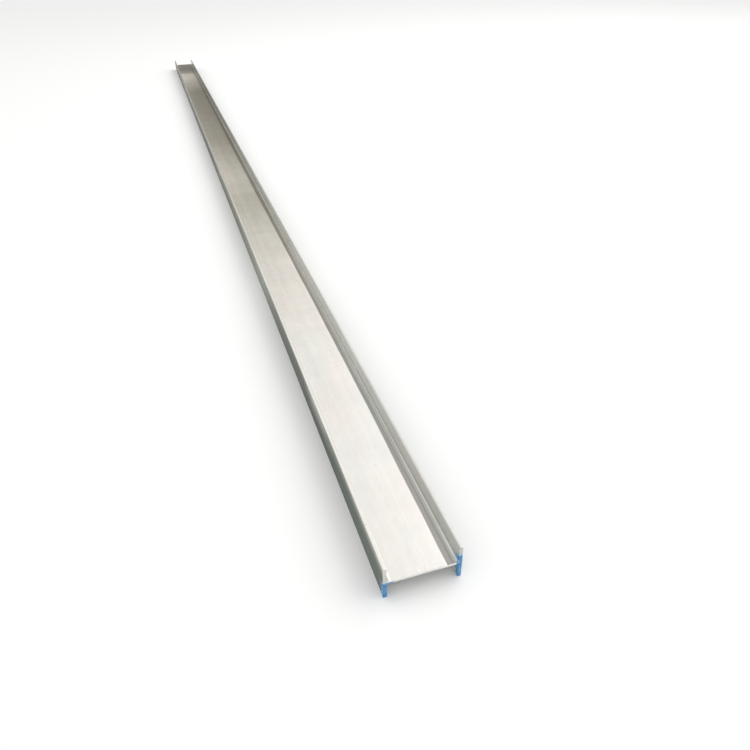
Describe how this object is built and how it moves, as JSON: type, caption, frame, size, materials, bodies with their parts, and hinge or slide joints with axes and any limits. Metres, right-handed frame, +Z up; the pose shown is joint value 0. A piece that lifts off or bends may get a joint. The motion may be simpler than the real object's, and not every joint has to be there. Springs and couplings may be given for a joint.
{
  "type": "steel i-beam",
  "caption": "Galvanised rolled steel beam with a level web between upright parallel flanges, rounded roots, square sawn ends and blue marking paint on the flange ends.",
  "frame": {"origin": "on the floor under the middle of the beam, halfway along its length and across its depth", "axes": "+X across the section's depth from flange to flange, +Y along the beam away from the paint-marked end, +Z up, across the flanges' width"},
  "size_m": [0.15, 6, 0.075],
  "materials": {
    "galvanised_steel": "satin",
    "blue_marking_paint": "satin"
  },
  "bodies": {
    "root": {"i_beam": "galvanised_steel"}
  },
  "joints": []
}
